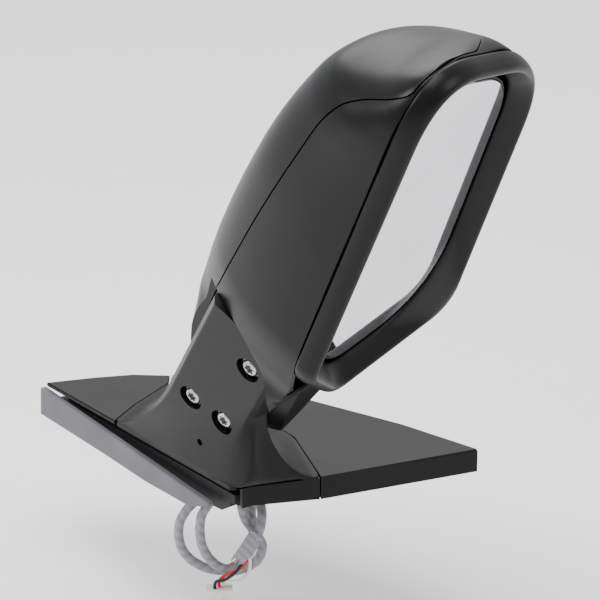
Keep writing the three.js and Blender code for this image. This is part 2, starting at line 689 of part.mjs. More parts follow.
function worm(jack) {
  const profile = [[0, -8]];
  for (let i = 0; i < 4; i++) {
    const y = -6 + 3 * i;
    profile.push([2.1, y], [3.1, y + 1.2], [2.1, y + 2.4]);
  }
  return besideWheel(turned([...profile.slice(0, 1), [1.2, -8], [1.2, -6], ...profile.slice(1), [1.2, 6],
    [1.2, 9], [0, 9]], 8), jack);
}

function motor(jack) {
  const can = turned([[0, 9.4], [3, 9.4], [3, 11], [6.4, 11], [6.8, 11.6], [6.8, 29], [6.2, 30], [2, 30],
    [2, 31.4], [0, 31.4]], 12);
  return besideWheel(can, jack);
}

const actuatorCorners = [[46, 7, 10], [100, 8, 20], [138, 16, 12], [138, 94, 12], [46, 98, 12]];
const screwPlaces = [[54, 34], [56, 88], [126, 26]];
const throughY = ([x, z], radius, low, high) => solid(rod(radius, low, high).translate(x, 0, z));

function actuatorCase() {
  const tray = solid(prismY(outlineShape(actuatorCorners), actuatorBack, actuatorFront));
  const hollow = solid(prismY(outlineShape(actuatorCorners, -2), actuatorBack + 2, 0));
  const seat = solid(atBall(rod(12, actuatorBack + 1, -52.3)));
  const bosses = screwPlaces.map((at) => throughY(at, 4.6, actuatorBack + 0.5, actuatorFront));
  return cut(join(cut(tray, hollow), seat, ...bosses),
    ...screwPlaces.map((at) => throughY(at, 1.9, -70, 0)));
}

function actuatorCover() {
  const plate = solid(prismY(outlineShape(actuatorCorners, -0.4), actuatorFront + gap, actuatorFront + 2.2));
  const ports = [[ballX, ballZ, 7], ...jacks.map(({ x, z }) => [ballX + x, ballZ + z, 5])];
  return cut(plate, ...ports.map(([x, z, radius]) => throughY([x, z], radius, -60, 0)),
    ...screwPlaces.map((at) => throughY(at, 1.9, -70, 0)));
}

function actuatorScrew([x, z]) {
  return solid(turned([[0, -64.4], [1.5, -64.4], [1.5, -33.5], [3.4, -33.5], [3.4, -32], [2.2, -31.4],
    [0, -31.4]], 10).translate(x, 0, z));
}

// Head frame: a hub on the pivot post, a beam, and a plate that carries the actuator
const frameBack = -66;
const frameFront = -59;

function headFramePiece() {
  const corners = [[-28, 22, 14], [40, 12, 12], [118, 15, 14], [134, 24, 14], [134, 84, 14],
    [60, 98, 14], [-24, 84, 22]];
  const plate = solid(prismY(outlineShape(corners), frameBack, frameFront));
  const windows = [[[72, 36, 8], [98, 36, 8], [98, 66, 8], [72, 66, 8]],
    [[2, 38, 6], [30, 34, 6], [30, 66, 6], [2, 62, 6]]].map((window) =>
    solid(prismY(outlineShape(window), frameBack - 1, frameFront + 1)));
  const beam = solid(new THREE.BoxGeometry(44, 7, 22).translate(-30, (frameBack + frameFront) / 2, 40));
  const hub = pivotTool(ring(1, 15, 22.4, 36));
  const bore = pivotTool(rod(9.1, 15, 70, 16));
  const holes = screwPlaces.map((at) => throughY(at, 1.9, -70, 0));
  return cut(join(cut(plate, ...windows), beam, hub), bore, pivotTool(rod(15.4, 36, 70, 16)),
    pivotTool(rod(14.8, 10, 22.3, 16)), ...holes);
}

// ---- Assembly

const matt = { metalness: 0, roughness: 0.55 };
const finishes = {
  black: { color: 0x2c2c2f, ...matt },
  cap: { color: 0x39393d, metalness: 0, roughness: 0.35 },
  inner: { color: 0x1d1d20, metalness: 0, roughness: 0.7 },
  rubber: { color: 0x161617, metalness: 0, roughness: 0.85 },
  seal: { color: 0x5d5c61, metalness: 0, roughness: 0.7 },
  casting: { color: 0x8b8d90, metalness: 0.8, roughness: 0.55 },
  steel: { color: 0xc9cbce, metalness: 1, roughness: 0.3 },
  spring: { color: 0x6f7276, metalness: 1, roughness: 0.4 },
  nylon: { color: 0xd9d6cc, metalness: 0, roughness: 0.5 },
  brass: { color: 0xb5914a, metalness: 1, roughness: 0.4 },
  mirror: { color: 0xd4d5d9, metalness: 1, roughness: 0.04 },
  heater: { color: 0x9a6a3a, metalness: 0.3, roughness: 0.6 },
  tape: { color: 0x99989d, metalness: 0, roughness: 0.7 },
  red: { color: 0xc4161f, metalness: 0, roughness: 0.45 },
  wireBlack: { color: 0x1a1a1b, metalness: 0, roughness: 0.5 },
  wireWhite: { color: 0xe6e4df, metalness: 0, roughness: 0.5 },
  plug: { color: 0xeceae4, metalness: 0, roughness: 0.4 },
};
const materials = Object.fromEntries(Object.entries(finishes).map(([name, values]) =>
  [name, new THREE.MeshStandardMaterial(values)]));

const base = new THREE.Group();
const head = new THREE.Group();
head.applyMatrix4(headFrame);

function put(parent, name, finish, body) {
  const mesh = new THREE.Mesh(geometryOf(body), materials[finish]);
  mesh.name = name;
  parent.add(mesh);
  return mesh;
}

put(base, 'base_gasket', 'rubber', baseGasket());
put(base, 'base_casting', 'casting', baseCasting());
put(base, 'foot_cover', 'black', footCover());
put(base, 'sail_panel_front', 'black', sailFront());
put(base, 'sail_panel_rear', 'black', sailRear());
put(base, 'belt_seal_strip', 'seal', sealStrip());
put(base, 'cable_grommet', 'rubber', cableGrommet());
put(base, 'locating_pin', 'steel', locatingPin()).position.set(...pinPlace, 0);
studPlaces.forEach((at, i) => put(base, `door_stud_${i + 1}`, 'steel', doorStud()).position.set(...at, 0));
const armGroup = new THREE.Group();
armGroup.applyMatrix4(armFrame);
boltPlaces.forEach(([x, z], i) => put(armGroup, `arm_bolt_${i + 1}`, 'steel', armBolt()).position.set(x, 0, z));
base.add(armGroup);
put(base, 'harness_cord', 'tape', cordTube());
put(base, 'wire_red', 'red', wireTube(wireRoutes.wire_red));
put(base, 'wire_black', 'wireBlack', wireTube(wireRoutes.wire_black));
put(base, 'wire_white', 'wireWhite', wireTube(wireRoutes.wire_white));
put(base, 'harness_plug', 'plug', harnessPlug());
put(base, 'pivot_post', 'steel', pivotPost());
put(base, 'detent_ring_fixed', 'steel', fixedDetent());
put(base, 'fold_spring', 'spring', foldSpring());
put(base, 'spring_retainer', 'steel', atPivot(ring(8.8, 13.6, 52.8, 55)));

const shell = headShell();
put(head, 'cap_shell', 'cap', shell.intersect(capRegion(0)));
put(head, 'housing_shell', 'black', cut(shell, capRegion(seamGap)));
put(head, 'bezel_frame', 'black', bezelFrame());
put(head, 'head_frame', 'inner', headFramePiece());
put(head, 'mirror_glass', 'mirror', mirrorGlass());
put(head, 'heater_pad', 'heater', heaterPad());
put(head, 'glass_holder', 'inner', glassHolder());
put(head, 'tilt_ring', 'nylon', tiltRing());
put(head, 'ball_post', 'nylon', ballPost());
put(head, 'actuator_case', 'inner', actuatorCase());
put(head, 'actuator_cover', 'inner', actuatorCover());
jacks.forEach((jack, i) => {
  put(head, `jack_screw_${i + 1}`, 'nylon', jackScrew(jack));
  put(head, `drive_wheel_${i + 1}`, 'nylon', driveWheel(jack));
  put(head, `worm_${i + 1}`, 'brass', worm(jack));
  put(head, `motor_${i + 1}`, 'steel', motor(jack));
});
screwPlaces.forEach((at, i) => put(head, `actuator_screw_${i + 1}`, 'steel', actuatorScrew(at)));
put(base, 'detent_ring_moving', 'steel', movingDetent());

const mirror = new THREE.Group();
mirror.add(base, head);

export default mirror;
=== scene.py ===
import math
import bmesh
import bpy
import numpy as np
from mathutils import Matrix, Vector


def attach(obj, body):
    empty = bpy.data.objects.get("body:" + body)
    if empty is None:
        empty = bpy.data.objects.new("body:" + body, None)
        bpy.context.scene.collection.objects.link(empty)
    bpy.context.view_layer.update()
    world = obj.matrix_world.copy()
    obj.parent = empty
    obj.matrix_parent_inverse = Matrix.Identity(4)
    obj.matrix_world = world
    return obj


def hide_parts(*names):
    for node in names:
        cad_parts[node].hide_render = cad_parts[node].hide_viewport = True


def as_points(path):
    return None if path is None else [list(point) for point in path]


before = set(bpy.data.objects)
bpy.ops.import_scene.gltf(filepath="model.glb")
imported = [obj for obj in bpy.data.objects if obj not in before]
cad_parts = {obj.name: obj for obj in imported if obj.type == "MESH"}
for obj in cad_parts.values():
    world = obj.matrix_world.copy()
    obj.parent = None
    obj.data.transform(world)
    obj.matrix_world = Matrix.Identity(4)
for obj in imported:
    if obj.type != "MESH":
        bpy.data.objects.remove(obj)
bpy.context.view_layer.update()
print("frame loaded:", len(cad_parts), "nodes")

mm = 0.001


# directions: the arm's frame and the head's frame, as in the part

def unit(v):
    return np.asarray(v, float) / np.linalg.norm(v)


mirror = {"foldTilt": 17, "headLean": 28.35, "headRoll": 8, "panelPoint": (45, -45, 71),
          "headOffset": (79.6, 35.7), "pivot": (-4, 24)}
tilt, lean, roll = (math.radians(mirror[k]) for k in ("foldTilt", "headLean", "headRoll"))
rear = np.array([1.0, 0, 0])                                       # to the rear of the car
foldAxis = np.array([0, math.cos(tilt), math.sin(tilt)])
panelUp = np.cross(rear, foldAxis)
glassNormal = rear * math.cos(lean) - panelUp * math.sin(lean)
headOut = (panelUp * math.cos(lean) + rear * math.sin(lean)) * math.cos(roll) + foldAxis * math.sin(roll)
headUp = np.cross(headOut, glassNormal)
panelPoint = np.array(mirror["panelPoint"], float)
headPoint = panelPoint + rear * mirror["headOffset"][0] + panelUp * mirror["headOffset"][1]
pivotX, pivotZ = mirror["pivot"]


# A function that takes local x, y, z arrays in mm to points in the frame, in metres.
def place(origin, ex, ey, ez):
    def toFrame(x, y, z):
        x, y, z = np.broadcast_arrays(x, y, z)
        points = np.asarray(origin) + x[..., None] * ex + y[..., None] * ey + z[..., None] * ez
        return points * mm
    return toFrame


inBase = place((0, 0, 0), rear, np.array([0, 1.0, 0]), np.array([0, 0, 1.0]))
inArm = place(panelPoint, rear, foldAxis, panelUp)
atPivot = place(panelPoint + rear * pivotX + panelUp * pivotZ, rear, foldAxis, panelUp)
inHead = place(headPoint, headOut, glassNormal, headUp)


# camera, light and floor

def lookFrom(azimuth, elevation):
    a, e = math.radians(azimuth), math.radians(elevation)
    return np.array([math.sin(a) * math.cos(e), -math.cos(a) * math.cos(e), math.sin(e)])


def aim(thing, eye, target):
    thing.location = Vector(eye)
    thing.rotation_mode = "QUATERNION"
    thing.rotation_quaternion = (Vector(target) - Vector(eye)).to_track_quat("-Z", "Y")
    bpy.context.scene.collection.objects.link(thing)


camera = {"azimuth": 43, "elevation": 22, "distance": 1.5, "target": (0.0628, -0.0023, 0.1183),
          "view": 12.018}
cameraData = bpy.data.cameras.new("camera")
cameraData.sensor_width = 36
cameraData.lens = 18 / math.tan(math.radians(camera["view"]) / 2)
cameraThing = bpy.data.objects.new("camera", cameraData)
eye = np.array(camera["target"]) + lookFrom(camera["azimuth"], camera["elevation"]) * camera["distance"]
aim(cameraThing, eye, camera["target"])
bpy.context.scene.camera = cameraThing

# azimuth, elevation, distance in m, side in m, power in W
softboxes = {
    "keyLight": (-38, 34, 1.5, 0.6, 15),
    "sideLight": (112, 34, 1.6, 0.8, 9),
    "topLight": (10, 80, 1.3, 0.9, 20),
    "backLight": (225, 40, 1.8, 1.2, 14),
}
for name, (azimuth, elevation, distance, side, watts) in softboxes.items():
    lamp = bpy.data.lights.new(name, "AREA")
    lamp.energy = watts
    lamp.size = side
    target = np.array([0.05, 0, 0.12])
    aim(bpy.data.objects.new(name, lamp), target + lookFrom(azimuth, elevation) * distance, target)

backdrop = {"colour": (0.93, 0.94, 0.96, 1), "strength": 0.86}
world = bpy.data.worlds.new("studio")
world.use_nodes = True
world.node_tree.nodes["Background"].inputs["Color"].default_value = backdrop["colour"]
world.node_tree.nodes["Background"].inputs["Strength"].default_value = backdrop["strength"]
bpy.context.scene.world = world


# materials: one function adds a node, and each finish says what it is

# sRGB hex to linear red, green, blue, alpha.
def fromHex(code):
    values = [int(code[i:i + 2], 16) / 255 for i in (1, 3, 5)]
    return [v / 12.92 if v <= 0.04045 else ((v + 0.055) / 1.055) ** 2.4 for v in values] + [1]


def addNode(tree, kind, settings=None, links=None):
    node = tree.nodes.new(kind)
    for key, value in (settings or {}).items():
        if key in node.inputs:
            node.inputs[key].default_value = value
        else:
            setattr(node, key, value)
    for key, source in (links or {}).items():
        tree.links.new(source, node.inputs[key])
    return node


# Noise scale for a pattern whose features are that many mm apart.
def perMetre(spacing):
    return 1 / (spacing * mm)


# A Principled material with its tree, its shader and its object coordinates.
def surfaceOf(name, colour, metallic, roughness, extra=None):
    material = bpy.data.materials.new(name)
    material.use_nodes = True
    tree = material.node_tree
    shader = tree.nodes["Principled BSDF"]
    shader.inputs["Base Color"].default_value = fromHex(colour)
    shader.inputs["Metallic"].default_value = metallic
    shader.inputs["Roughness"].default_value = roughness
    for key, value in (extra or {}).items():
        shader.inputs[key].default_value = value
    coords = addNode(tree, "ShaderNodeTexCoord").outputs["Object"]
    material.diffuse_color = fromHex(colour)
    return material, tree, shader, coords


# Slow change of colour from light to dark, and of roughness from low to high.
def mottle(tree, shader, coords, spacing, light, dark, low, high):
    noise = addNode(tree, "ShaderNodeTexNoise", {"Scale": perMetre(spacing), "Detail": 4.0},
                    {"Vector": coords})
    ramp = addNode(tree, "ShaderNodeValToRGB", {}, {"Fac": noise.outputs["Fac"]})
    ramp.color_ramp.elements[0].position = 0.3
    ramp.color_ramp.elements[1].position = 0.7
    ramp.color_ramp.elements[0].color = fromHex(light)
    ramp.color_ramp.elements[1].color = fromHex(dark)
    tree.links.new(ramp.outputs["Color"], shader.inputs["Base Color"])
    span = addNode(tree, "ShaderNodeMapRange", {"To Min": low, "To Max": high},
                   {"Value": noise.outputs["Fac"]})
    tree.links.new(span.outputs["Result"], shader.inputs["Roughness"])


# Raised texture: noise of that spacing in mm, that depth in mm.
def grain(tree, shader, coords, spacing, depth, strength, detail=2.0):
    noise = addNode(tree, "ShaderNodeTexNoise", {"Scale": perMetre(spacing), "Detail": detail},
                    {"Vector": coords})
    bump = addNode(tree, "ShaderNodeBump", {"Strength": strength, "Distance": depth * mm},
                   {"Height": noise.outputs["Fac"]})
    tree.links.new(bump.outputs["Normal"], shader.inputs["Normal"])


def moulded(name, light, dark, low, high, spacing=0.9, depth=0.05, strength=0.25, specular=0.28):
    # moulded plastic: an even skin with a fine eroded grain, drawn a little coarse so that it shows
    material, tree, shader, coords = surfaceOf(name, light, 0, low,
                                               {"IOR": 1.5, "Specular IOR Level": specular})
    mottle(tree, shader, coords, 34, light, dark, low, high)
    grain(tree, shader, coords, spacing, depth, strength)
    return material


def metal(name, light, dark, low, high, spacing=0.5, depth=0.02, strength=0.2):
    # plated or cast metal: clouded reflection and fine tool or die marks
    material, tree, shader, coords = surfaceOf(name, light, 1, low)
    mottle(tree, shader, coords, 6, light, dark, low, high)
    grain(tree, shader, coords, spacing, depth, strength, 4.0)
    return material


def silvered():
    # float glass with a chromed face: a hard clean reflection with the faintest haze
    material, tree, shader, coords = surfaceOf("silvered glass", "#cfd0d5", 1, 0.03)
    mottle(tree, shader, coords, 60, "#d0d1d6", "#c6c7cc", 0.02, 0.05)
    return material


def wovenTape():
    # cloth harness tape: diagonal turns with a fine weave, light grey, no shine
    material, tree, shader, coords = surfaceOf("woven cloth tape", "#8e8d92", 0, 0.8, {"Sheen Weight": 0.3})
    uv = addNode(tree, "ShaderNodeUVMap", {"uv_map": "along"}).outputs["UV"]
    turns = addNode(tree, "ShaderNodeTexWave",
                    {"Scale": 1.0, "Distortion": 0.6, "bands_direction": "DIAGONAL"}, {"Vector": uv})
    ramp = addNode(tree, "ShaderNodeValToRGB", {}, {"Fac": turns.outputs["Fac"]})
    ramp.color_ramp.elements[0].color = fromHex("#7d7c81")
    ramp.color_ramp.elements[1].color = fromHex("#939297")
    tree.links.new(ramp.outputs["Color"], shader.inputs["Base Color"])
    grain(tree, shader, coords, 0.5, 0.12, 0.6, 6.0)
    return material


finishes = {
    "blackPlastic": moulded("moulded ABS grained", "#080809", "#050506", 0.32, 0.42, 0.9, 0.04, 0.2, 0.17),
    "capPlastic": moulded("moulded ABS satin", "#09090a", "#060607", 0.28, 0.35, 1.4, 0.03, 0.1, 0.17),
    "innerPlastic": moulded("moulded glass filled nylon", "#0e0e0f", "#0a0a0b", 0.5, 0.66, 0.6, 0.06, 0.4),
    "rubber": moulded("moulded EPDM rubber", "#0e0e0f", "#0a0a0a", 0.72, 0.86, 0.7, 0.08, 0.4),
    "sealRubber": moulded("extruded grey sealing rubber", "#66656b", "#5c5b61", 0.5, 0.66, 1.2, 0.06, 0.25),
    "casting": moulded("e-coated die casting", "#0f0f10", "#0b0b0c", 0.42, 0.6, 1.6, 0.12, 0.5),
    "zincSteel": metal("zinc plated steel", "#b4b6ba", "#95979b", 0.2, 0.34),
    "springSteel": metal("oiled spring steel", "#6c6f73", "#54575b", 0.3, 0.45),
    "nylon": moulded("moulded natural nylon", "#dcd8cc", "#d2cec1", 0.4, 0.52, 1.5, 0.03, 0.2),
    "brass": metal("machined brass", "#c09a52", "#a98443", 0.25, 0.38),
    "silvered": silvered(),
    "heaterFilm": moulded("printed heater film", "#8f5d33", "#7c5130", 0.4, 0.5),
    "tape": wovenTape(),
    "redInsulation": moulded("extruded red PVC", "#cf1a22", "#b9141c", 0.3, 0.4, 1.0, 0.02, 0.15),
    "blackInsulation": moulded("extruded black PVC", "#1b1b1d", "#141415", 0.3, 0.42, 1.0, 0.02, 0.15),
    "whiteInsulation": moulded("extruded white PVC", "#e7e5df", "#dedbd3", 0.3, 0.42, 1.0, 0.02, 0.15),
    "plugPlastic": moulded("moulded white nylon", "#e9e7e1", "#dfdcd4", 0.34, 0.46, 1.3, 0.03, 0.2),
    "paleFloor": moulded("matt floor paint", "#fbfbfb", "#f9f9f9", 0.8, 0.9, 3.0, 0.02, 0.05),
}
print("materials:", len(finishes))


# meshes from numpy arrays

def makePiece(name, points, faces, finish, body=None, slot=None, smooth=35):
    mesh = bpy.data.meshes.new(name)
    mesh.from_pydata(np.asarray(points).reshape(-1, 3).tolist(), [], [list(map(int, f)) for f in faces])
    mesh.update()
    piece = bpy.data.objects.new(name, mesh)
    bpy.context.scene.collection.objects.link(piece)
    dressPiece(piece, finish, body, slot, smooth)
    return piece


def dressPiece(piece, finish, body, slot, smooth):
    piece.data.materials.clear()
    piece.data.materials.append(finishes[finish])
    piece.data.shade_smooth()
    piece.data.set_sharp_from_angle(angle=math.radians(smooth))
    if body:
        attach(piece, body)


# Quads between neighbours of a rows by columns grid of points.
def gridFaces(rows, columns, wrapRows=False, wrapColumns=True):
    i, j = np.meshgrid(np.arange(rows if wrapRows else rows - 1),
                       np.arange(columns if wrapColumns else columns - 1), indexing="ij")
    i2, j2 = (i + 1) % rows, (j + 1) % columns
    corners = [i * columns + j, i * columns + j2, i2 * columns + j2, i2 * columns + j]
    return np.stack(corners, -1).reshape(-1, 4)


# A grid of rings, closed at both ends by one flat face.
def closedSkin(rows):
    rows = np.asarray(rows)
    count, columns = rows.shape[:2]
    first = np.arange(columns)[::-1].tolist()
    last = ((count - 1) * columns + np.arange(columns)).tolist()
    return rows.reshape(-1, 3), [*gridFaces(count, columns).tolist(), first, last]


def facesOut(piece):
    work = bmesh.new()
    work.from_mesh(piece.data)
    bmesh.ops.remove_doubles(work, verts=work.verts, dist=1e-7)
    bmesh.ops.recalc_face_normals(work, faces=work.faces)
    work.to_mesh(piece.data)
    work.free()


def closedPiece(name, rows, finish="blackPlastic"):
    piece = makePiece(name, *closedSkin(rows), finish)
    facesOut(piece)
    return piece


# An outline of (u, w) points carried along the second local axis from low to high, as two rings.
def prism(outline, low, high, toFrame):
    outline = np.asarray(outline, float)
    rows = [toFrame(outline[:, 0], np.full(len(outline), y), outline[:, 1]) for y in (low, high)]
    return closedPiece("tool", rows)


# A profile of (radius, y) pairs turned about the second local axis.
def lathe(profile, toFrame, sides=64, centre=(0, 0)):
    profile = np.asarray(profile, float)
    turn = np.linspace(0, 2 * math.pi, sides, endpoint=False)
    x = profile[:, :1] * np.cos(turn) + centre[0]
    z = profile[:, :1] * np.sin(turn) + centre[1]
    return toFrame(x, profile[:, 1:] + 0 * turn, z)


# Cuts or joins closed pieces, leaves one plain mesh, and removes the tools.
def carve(piece, operation, tools):
    for tool in tools:
        modifier = piece.modifiers.new("carve", "BOOLEAN")
        modifier.operation = operation
        modifier.solver = "MANIFOLD"
        modifier.object = tool
    graph = bpy.context.evaluated_depsgraph_get()
    mesh = bpy.data.meshes.new_from_object(piece.evaluated_get(graph))
    piece.modifiers.clear()
    piece.data = mesh
    for tool in tools:
        bpy.data.objects.remove(tool)
    return piece


def copyOf(piece):
    twin = bpy.data.objects.new("tool", piece.data.copy())
    bpy.context.scene.collection.objects.link(twin)
    return twin


def bevelled(piece, width, segments=3, angle=40):
    bevel = piece.modifiers.new("edge", "BEVEL")
    bevel.width = width * mm
    bevel.segments = segments
    bevel.limit_method = "ANGLE"
    bevel.angle_limit = math.radians(angle)
    bevel.harden_normals = True
    return piece


# Smooth value of one column of a table of places, with no overshoot (a monotone cubic).
def between(table, column, x):
    places, values = table[:, 0], table[:, column]
    slope = np.diff(values) / np.diff(places)
    product = slope[:-1] * slope[1:]
    total = np.where(product > 0, slope[:-1] + slope[1:], 1)
    tangent = np.concatenate([slope[:1], np.where(product > 0, 2 * product / total, 0), slope[-1:]])
    i = np.searchsorted(places[1:-1], x)
    span = places[i + 1] - places[i]
    t = np.clip((x - places[i]) / span, 0, 1)
    return (values[i] * (2 * t**3 - 3 * t**2 + 1) + tangent[i] * span * (t**3 - 2 * t**2 + t)
            + values[i + 1] * (3 * t**2 - 2 * t**3) + tangent[i + 1] * span * (t**3 - t**2))


# Rounds a closed outline: each point becomes the mean of its neighbours within width places.
def smoothClosed(points, width):
    shifted = [np.roll(points, k, axis=0) for k in range(-width, width + 1)]
    return np.mean(shifted, axis=0)


# Points at equal steps along an open line of corners, its last corner left out.
def alongLine(corners, count):
    corners = np.asarray(corners, float)
    reach = np.concatenate([[0], np.cumsum(np.linalg.norm(np.diff(corners, axis=0), axis=1))])
    at = np.linspace(0, reach[-1], count, endpoint=False)
    return np.stack([np.interp(at, reach, corners[:, k]) for k in range(2)], -1)


# Corners (x, y, radius) of an outline whose edges have all moved outwards.
def grown(corners, distance):
    corners = np.asarray(corners, float)
    along = np.roll(corners[:, :2], -1, 0) - corners[:, :2]
    along /= np.linalg.norm(along, axis=1)[:, None]
    start = corners[:, :2] + np.stack([along[:, 1], -along[:, 0]], -1) * distance
    before, beforeStart = np.roll(along, 1, 0), np.roll(start, 1, 0)
    gapTo = start - beforeStart
    t = (gapTo[:, 0] * along[:, 1] - gapTo[:, 1] * along[:, 0])
    t = t / (before[:, 0] * along[:, 1] - before[:, 1] * along[:, 0])
    return np.column_stack([beforeStart + before * t[:, None], np.maximum(corners[:, 2] + distance, 0.5)])


# Outline of (x, y, radius) corners: each corner is a parabola arc, with points along the edges too.
def rounded(corners, arcSteps=16, edgeSteps=10):
    corners = np.asarray(corners, float)
    here = corners[:, :2]
    before = np.roll(here, 1, 0) - here
    after = np.roll(here, -1, 0) - here
    before /= np.linalg.norm(before, axis=1)[:, None]
    after /= np.linalg.norm(after, axis=1)[:, None]
    reach = corners[:, 2] / np.tan(np.arccos((before * after).sum(1)) / 2)
    start, end = here + before * reach[:, None], here + after * reach[:, None]
    t = np.linspace(0, 1, arcSteps)[None, :, None]
    arcs = start[:, None] * (1 - t)**2 + here[:, None] * 2 * t * (1 - t) + end[:, None] * t**2
    u = np.linspace(0, 1, edgeSteps + 2)[None, 1:-1, None]
    edges = end[:, None] * (1 - u) + np.roll(start, -1, 0)[:, None] * u
    return np.concatenate([arcs, edges], 1).reshape(-1, 2)


# cords first: the taped harness, its three wires and the plug

harness = {"middle": (12, -8, -31), "right": (0.731, 0.682), "near": (0.682, -0.731), "diameter": 5.5,
           "wire": 1.9, "wireSides": 12, "wireSteps": 60, "pitch": 9, "lap": 0.2, "turns": 34,
           "sides": 24, "steps": 700}


# Right, near and up about the middle of the loops, taken to mm in the frame.
def routePoints(route):
    r = np.asarray(route, float)
    (rx, ry), (nx, ny) = harness["right"], harness["near"]
    return np.asarray(harness["middle"]) + np.stack(
        [r[:, 0] * rx + r[:, 1] * nx, r[:, 0] * ry + r[:, 1] * ny, r[:, 2]], -1)


# Centripetal Catmull-Rom curve through the points, sampled at equal steps of length.
def smoothPath(points, count):
    p = np.asarray(points, float)
    p = np.concatenate([[2 * p[0] - p[1]], p, [2 * p[-1] - p[-2]]])
    knots = np.concatenate([[0], np.cumsum(np.linalg.norm(np.diff(p, axis=0), axis=1) ** 0.5)])
    t = np.linspace(knots[1], knots[-2], count * 4)
    i = np.clip(np.searchsorted(knots, t, side="right") - 1, 1, len(p) - 3)
    k = [knots[i + s][:, None] for s in (-1, 0, 1, 2)]
    q = [p[i + s] for s in (-1, 0, 1, 2)]
    t = t[:, None]

    def mix(a, b, ka, kb):
        return (a * (kb - t) + b * (t - ka)) / (kb - ka)

    a = [mix(q[s], q[s + 1], k[s], k[s + 1]) for s in range(3)]
    b = [mix(a[s], a[s + 1], k[s], k[s + 2]) for s in range(2)]
    curve = mix(b[0], b[1], k[1], k[2])
    reach = np.concatenate([[0], np.cumsum(np.linalg.norm(np.diff(curve, axis=0), axis=1))])
    at = np.linspace(0, reach[-1], count)
    return np.stack([np.interp(at, reach, curve[:, c]) for c in range(3)], -1), reach[-1]


# Rings round a path, carried along it without twist; height adds to the radius ring by ring.
def tubeRings(path, radius, sides, height=None):
    tangent = np.gradient(path, axis=0)
    tangent /= np.linalg.norm(tangent, axis=1)[:, None]
    side = np.cross(tangent[0], (0.3, 0.9, 0.2))
    sideways = np.empty_like(path)
    for i, along in enumerate(tangent):                            # each step keeps the last one's side
        side = unit(side - along * (side @ along))
        sideways[i] = side
    other = np.cross(tangent, sideways)
    turn = np.linspace(0, 2 * math.pi, sides, endpoint=False)
    reach = radius if height is None else radius + height(np.linspace(0, 1, len(path))[:, None], turn[None])
    reach = np.broadcast_to(reach, (len(path), sides))[..., None]
    rings = path[:, None] + reach * (np.cos(turn)[None, :, None] * sideways[:, None]
                                     + np.sin(turn)[None, :, None] * other[:, None])
    return rings


def tubePiece(name, route, radius, finish, slot, sides, steps, height=None, turnsUv=0.0):
    path, length = smoothPath(routePoints(route), steps)
    rings = tubeRings(path, radius, sides, height)
    piece = makePiece(name, *closedSkin(rings * mm), finish, "base", slot)
    along = np.linspace(0, length * mm, steps)
    coords = piece.data.uv_layers.new(name="along")
    verts = np.empty(len(piece.data.loops), np.int32)
    piece.data.loops.foreach_get("vertex_index", verts)
    ring, corner = np.minimum(verts // sides, steps - 1), verts % sides
    uv = np.stack([along[ring] / (harness["pitch"] * mm) * turnsUv, corner / sides], -1)
    coords.data.foreach_set("uv", uv.astype(np.float32).ravel())
    facesOut(piece)
    return piece, path * mm, length * mm


cordRoute = [
    (8.6, 3.9, 20.7), (9, 3.7, 14.5), (11, 3, 7), (15.5, 2.4, -0.5), (20, 4, -8), (18, 5, -16),
    (11, 5.5, -21.5), (3, 5, -23.5), (-6, 4.5, -20), (-12.5, 4, -11), (-14.5, 4, 1), (-13, 4, 11),
    (-8, 3, 18), (-3, 0, 20), (-10, -3, 19.5), (-19, -4, 13), (-25.5, -4, 3), (-26.5, -4, -8),
    (-23, -4, -18), (-14, -4, -25.5), (-3, -4, -28), (7, -4.5, -24), (14, -5, -15), (15.5, -5, -4),
    (14, -5, 6), (15, -4, 14), (18.5, 0, 16), (20, 6.5, 11), (17.5, 10.5, 0), (12, 11, -11)]
wireRoutes = {
    "wireRed": [(11.8, 11, -14), (8, 11, -19), (2, 10, -22.5), (-3, 8, -27), (-4, 7.4, -30),
                (-4, 7.4, -32.4)],
    "wireBlack": [(9.6, 12.8, -13.6), (5.5, 13.6, -20), (-1, 12.6, -25.5), (-5.6, 10, -28),
                  (-6.4, 9.4, -30.4), (-6.4, 9.4, -32.4)],
    "wireWhite": [(13.4, 9.6, -13.4), (12.6, 10.6, -21.5), (8, 10.6, -27), (1, 9, -28.5),
                  (-1.4, 6.6, -30.2), (-1.5, 6.5, -32.4)],
}


# Each turn of tape laps the last: a saw tooth that runs round the cord once for each pitch.
def lapRidges(t, turn):
    phase = (t * harness["turns"] + turn / (2 * math.pi)) % 1
    return harness["lap"] * (phase ** 0.5 - 0.9)


cordPiece, cordPath, cordLength = tubePiece(
    "tapedHarness", cordRoute, harness["diameter"] / 2, "tape", "cloth_tape", harness["sides"],
    harness["steps"], lapRidges, 1.0)
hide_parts("harness_cord")
for name, slotName, finish in (("wireRed", "wire_red", "redInsulation"),
                               ("wireBlack", "wire_black", "blackInsulation"),
                               ("wireWhite", "wire_white", "whiteInsulation")):
    wire = tubePiece(name, wireRoutes[name], harness["wire"] / 2, finish, slotName,
                     harness["wireSides"], harness["wireSteps"])[0]
    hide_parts(slotName)
print("harness:", round(cordLength, 3), "m")

# size and place of each box in mm: the latch's thumb pad, its spring arm and its foot
plug = {"middle": (-4, 8, -41.4), "turn": 43, "body": (15, 8.5, 17), "depth": 9,
        "latch": [((5, 3.2, 1.6), (0, -5.5, 7.2)), ((3.4, 1.4, 12.2), (0, -5.9, 1.9)),
                  ((5, 1.6, 2), (0, -5.0, -3.4))],
        "opening": (3.2, 5.4), "openingsAt": (-4.6, 0, 4.6), "rib": (1.1, 0.9, 12),
        "ribsAt": (-4.5, -1.5, 1.5, 4.5), "edge": 0.35}


